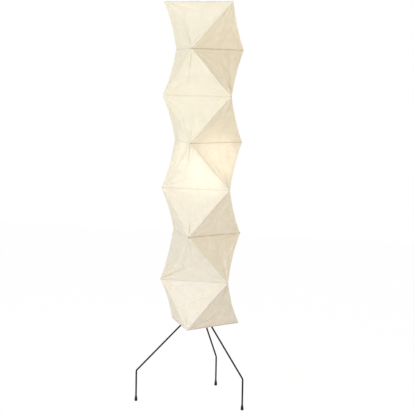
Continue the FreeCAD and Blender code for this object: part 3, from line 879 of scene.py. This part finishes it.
# %% Sheets, glue with painted shade, and painted shade in the folds
wire_way, fold_way, glue_and_shade_way, brown_way, sheet_way = (
    add(tree, "ShaderNodeAttribute", attribute_name=name).outputs["Fac"]
    for name in ("to_wire", "to_fold", "glue_and_shade", "brown", "sheet"))
line = add(tree, "ShaderNodeMapRange", interpolation_type="SMOOTHSTEP")
line.inputs["From Min"].default_value = 0.5
line.inputs["To Min"].default_value = 1.0
line.inputs["To Max"].default_value = 0.0
join(tree, wire_way, line.inputs["Value"],
     maths(tree, "MULTIPLY", noise(tree, where, 30.0, 3.0), 5.0), line.inputs["From Max"])
glue_and_shade_line = maths(tree, "MULTIPLY", line.outputs["Result"], maths(tree, "MULTIPLY", glue_and_shade_way, 0.62))
colour = mixed(tree, sheet_way, colour, paper_dark)
# The glue line: glue, and painted shade in the groove beside the wire.
colour = mixed(tree, glue_and_shade_line, colour, glue_and_shade_brown)
# Painted shade along the folds, within a few millimetres of each.
colour = mixed(tree, ramp(tree, fold_way, 0.4, 3.0, 0.10, 0.0), colour, painted_fold_shade)
colour = mixed(tree, brown_way, colour, corner_brown)
join(tree, colour, shader.inputs["Base Color"])
print("with glue and folds there are", len(tree.nodes), "nodes")

# %% [markdown]
# The bulb is lit, and the paper round it glows, more above the bulb than below, where the lamp
# holder is in the way. A light in the bulb could do this, but the glow would be gone wherever the lamp
# is shown without its lights. So the paper gives off the glow itself. It fades with distance, and is
# weaker in thick pulp and near the folds.

# %% Glow of the bulb
glow_rise = 0.022           # how far above the middle of the bulb the glow is strongest
glow_near, glow_far = 0.05, 0.24
bulb_place = [sum(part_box("bulb_glass")[end][axis] for end in (0, 1)) / 2 for axis in range(3)]
from_bulb = add(tree, "ShaderNodeVectorMath", operation="DISTANCE")
from_bulb.inputs[1].default_value = (bulb_place[0], bulb_place[1], bulb_place[2] + glow_rise)
join(tree, where, from_bulb.inputs[0])
glow = ramp(tree, from_bulb.outputs["Value"], glow_near, glow_far, 1.0, 0.0)
for mask, loss in ((clouds, 0.25), (laid_lines, 0.2)):
    glow = maths(tree, "MULTIPLY", glow,
                 maths(tree, "SUBTRACT", 1.0, maths(tree, "MULTIPLY", mask, loss)))
glow = maths(tree, "MULTIPLY", glow, ramp(tree, fold_way, 1.0, 16.0, 0.45, 1.0))
join(tree, mixed(tree, glow, (0, 0, 0, 1), bulb_glow), shader.inputs["Emission Color"])
print("the glow reaches", glow_far, "m from", [round(v, 3) for v in bulb_place])

# %% [markdown]
# What is too fine to be modelled is drawn by two bumps: small sharp creases where the sheet was
# handled, with uneven pulp between them, and the fibres, which hardly stand out. Part of the light
# passes through the paper, so a translucent shader is mixed with the plain one.

# %% Creases, and light through the paper
small_creases = add(tree, "ShaderNodeTexVoronoi", feature="DISTANCE_TO_EDGE", Scale=22.0)
warp = mixed(tree, 0.12, where, add(tree, "ShaderNodeTexNoise", Scale=9.0).outputs["Color"])
join(tree, warp, small_creases.inputs["Vector"])
crease_height = maths(tree, "MULTIPLY", ramp(tree, small_creases.outputs["Distance"], 0.0, 0.08), 0.35)
crumpled = add(tree, "ShaderNodeBump", Distance=0.0016)
join(tree, maths(tree, "ADD", crease_height, noise(tree, where, 48.0)), crumpled.inputs["Height"])
laid_fibres = add(tree, "ShaderNodeBump", Distance=0.0002)
join(tree, fibre_mask, laid_fibres.inputs["Height"],
     crumpled.outputs["Normal"], laid_fibres.inputs["Normal"],
     laid_fibres.outputs["Normal"], shader.inputs["Normal"])
through = add(tree, "ShaderNodeBsdfTranslucent", Color=light_through)
both = add(tree, "ShaderNodeMixShader", Fac=0.28)
join(tree, shader.outputs[0], both.inputs[1], through.outputs[0], both.inputs[2],
     both.outputs[0], tree.nodes["Material Output"].inputs["Surface"])
for piece in paper_bands + hems:
    piece.data.materials.clear()
    piece.data.materials.append(paper)
print("paper on", len(paper_bands) + len(hems), "pieces")

# %% [markdown]
# ### Metal, rubber, plastic and glass
# The rods are drawn steel under satin black lacquer, which picks up dust and fine scratches along
# the rod. The rest of the metal is hidden by the shade, and gets the finish that such a piece has:
# zinc on the screws, plain brass in the lamp holder, rolled aluminium on the bulb's cap. Each way to
# treat a surface is one function, and the finishes differ in what they give to it.


# %% Painted and bare metal
def roughened(tree, marks, shader, roughness, by_streaks, by_patches):
    """Sets the roughness, raised a little by the streaks and the patches."""
    streaks = maths(tree, "MULTIPLY", marks["Streaks"], by_streaks)
    worn = maths(tree, "MULTIPLY", marks["Mask"], by_patches)
    total = maths(tree, "ADD", maths(tree, "ADD", streaks, worn), roughness)
    join(tree, total, shader.inputs["Roughness"])


def painted(name, colour, worn, roughness):
    """Satin paint, paler and rougher in patches, with thin streaks."""
    material, tree, shader, where = finish(name, Specular_IOR_Level=0.11)
    marks = use(tree, wear, where, Size=38.0, Amount=0.55)
    join(tree, mixed(tree, marks["Mask"], colour, worn), shader.inputs["Base Color"])
    roughened(tree, marks, shader, roughness, 0.10, 0.18)
    bump(tree, use(tree, grain, where, Size=900.0)["Height"], shader, 0.00012)
    return material


def metal(name, colour, stained, roughness, size=60.0):
    """Bare or plated metal with dull patches and fine drawn lines."""
    material, tree, shader, where = finish(name, Metallic=1.0)
    marks = use(tree, wear, where, Size=size, Amount=0.7)
    join(tree, mixed(tree, marks["Mask"], colour, stained), shader.inputs["Base Color"])
    roughened(tree, marks, shader, roughness, 0.12, 0.2)
    bump(tree, use(tree, grain, where, Size=1400.0)["Height"], shader, 0.00005)
    return material


def moulded(name, colour, worn, roughness, size, gloss):
    """Rubber or plastic with a fine moulded grain."""
    material, tree, shader, where = finish(name, Specular_IOR_Level=gloss)
    marks = use(tree, wear, where, Size=55.0, Amount=0.5)
    join(tree, mixed(tree, marks["Mask"], colour, worn), shader.inputs["Base Color"],
         maths(tree, "ADD", maths(tree, "MULTIPLY", marks["Mask"], 0.15), roughness),
         shader.inputs["Roughness"])
    bump(tree, use(tree, grain, where, Size=size)["Height"], shader, 0.0002)
    return material


print("ways to paint, plate and mould ready")

# %% Black paint, metals, rubber and plastic
rod_black = painted("rod_lacquer", (0.009, 0.0072, 0.0064, 1), (0.024, 0.020, 0.018, 1), 0.42)
paint_black = painted("satin_paint", (0.030, 0.029, 0.028, 1), (0.055, 0.053, 0.050, 1), 0.42)
spring_steel = metal("spring_steel", (0.56, 0.55, 0.52, 1), (0.40, 0.38, 0.34, 1), 0.28)
zinc = metal("zinc_plate", (0.66, 0.66, 0.67, 1), (0.50, 0.50, 0.50, 1), 0.26)
dull_wire = metal("dull_wire", (0.38, 0.31, 0.24, 1), (0.26, 0.19, 0.13, 1), 0.48)
plain_brass = metal("plain_brass", (0.80, 0.60, 0.28, 1), (0.52, 0.36, 0.16, 1), 0.24)
aluminium = metal("rolled_aluminium", (0.80, 0.80, 0.81, 1), (0.66, 0.65, 0.63, 1), 0.24)
tungsten = metal("tungsten_wire", (0.52, 0.48, 0.43, 1), (0.36, 0.33, 0.30, 1), 0.35, 300.0)
rubber = moulded("foot_rubber", (0.009, 0.0085, 0.008, 1), (0.026, 0.024, 0.022, 1),
                 0.62, 1100.0, 0.15)
plastic = moulded("holder_plastic", (0.028, 0.028, 0.029, 1), (0.045, 0.045, 0.045, 1),
                  0.38, 1500.0, 0.4)
print("metals, rubber and plastic made")

# %% Frosted and clear glass
frosted, tree, shader, where = finish("frosted_glass", Roughness=0.45, Transmission_Weight=0.35,
                                      IOR=1.48, Emission_Strength=0.35)
powder = noise(tree, where, 260.0, 3.0)
join(tree, mixed(tree, powder, (0.93, 0.89, 0.80, 1), (0.89, 0.84, 0.73, 1)), shader.inputs["Base Color"],
     mixed(tree, powder, (1.0, 0.90, 0.70, 1), (0.92, 0.80, 0.58, 1)), shader.inputs["Emission Color"])
bump(tree, powder, shader, 0.00005)
clear, tree, shader, where = finish("clear_glass", Transmission_Weight=1.0, IOR=1.5)
seeds = noise(tree, where, 180.0, 2.0)
join(tree, mixed(tree, seeds, (0.97, 0.98, 0.97, 1), (0.93, 0.95, 0.93, 1)), shader.inputs["Base Color"],
     ramp(tree, seeds, 0.3, 0.8, 0.02, 0.10), shader.inputs["Roughness"])
print("glass made")

# %% Put the finishes on the CAD nodes
finishes = {"steel_rod": rod_black, "steel_painted": paint_black, "steel_arm": spring_steel,
            "steel_plated": zinc, "wire": dull_wire, "rubber": rubber, "holder_plastic": plastic,
            "brass": plain_brass, "cap_metal": aluminium, "bulb_glass": frosted, "filament": tungsten,
            "paper": paper}
for part in frame["record"]["subparts"]:
    node = frame["nodes"][part["node"]]
    node.data.materials.clear()
    node.data.materials.append(finishes[part["material_slot"]])
# The stem inside the frosted bulb is clear glass.
frame["nodes"]["bulb_stem"].data.materials[0] = clear
cap.data.materials.append(aluminium)
for tip in rubber_tips:
    tip.data.materials.append(rubber)
print("finished", len(frame["nodes"]), "nodes")

# %% [markdown]
# ## Floor and light
# The lamp stands in a white studio. One large soft light is in front on the left, as in the
# photograph, and a weaker, warmer one on the right. Floor and surroundings that are really so white
# would light the lamp too evenly. So they only look white to the camera, to glossy surfaces and to
# glass, and light the lamp at a lower level.


# %% White studio
def white_to_the_eye(tree):
    """1 for rays that come from the camera, a gloss or a glass, and 0 for those that carry light."""
    rays = add(tree, "ShaderNodeLightPath").outputs
    seen = maths(tree, "MAXIMUM", rays["Is Camera Ray"], rays["Is Glossy Ray"])
    return maths(tree, "MAXIMUM", seen, rays["Is Transmission Ray"])


world_level = 0.64          # what the surroundings give to the lamp
floor_white = 1.02          # how white the floor looks
floor_cover = 0.93          # how much of the real floor, with its shadow, that white hides
world = bpy.data.worlds.new("white_studio")
bpy.context.scene.world = world
world.use_nodes = True
tree = world.node_tree
background = tree.nodes["Background"]
background.inputs["Color"].default_value = (1.0, 1.0, 1.0, 1)
join(tree, ramp(tree, white_to_the_eye(tree), 0.0, 1.0, world_level, 1.0), background.inputs["Strength"])

start_fresh()
bpy.ops.mesh.primitive_plane_add(size=14)
floor = named("studio_floor")
pale, tree, shader, where = finish("pale_floor", Roughness=0.9)
join(tree, mixed(tree, noise(tree, where, 6.0), (0.88, 0.88, 0.88, 1), (0.85, 0.85, 0.85, 1)),
     shader.inputs["Base Color"])
white = add(tree, "ShaderNodeEmission", Color=(1, 1, 1, 1), Strength=floor_white)
seen = add(tree, "ShaderNodeMixShader")
join(tree, ramp(tree, white_to_the_eye(tree), 0.0, 1.0, 0.0, floor_cover), seen.inputs["Fac"],
     shader.outputs[0], seen.inputs[1], white.outputs[0], seen.inputs[2],
     seen.outputs[0], tree.nodes["Material Output"].inputs["Surface"])
floor.data.materials.append(pale)
print("floor and surroundings ready")


# %% Soft lights
def soft_light(name, place, aim, size, power, colour):
    """A square soft light that looks at a point."""
    bpy.ops.object.light_add(type="AREA", location=place)
    light = bpy.context.object
    light.name = name
    light.data.size = size
    light.data.energy = power
    light.data.color = colour
    light.rotation_euler = (Vector(aim) - Vector(place)).to_track_quat("-Z", "Y").to_euler()


middle = (0, 0, 1.0)
soft_light("key_left", place=(-1.8, -4.35, 2.1), aim=middle, size=2.6, power=127,
           colour=(0.925, 0.957, 0.985))
soft_light("fill_right", place=(3.6, -0.6, 1.7), aim=middle, size=2.4, power=37,
           colour=(1.0, 0.82, 0.57))
bpy.context.scene.view_settings.view_transform = "Standard"
print("lights ready")
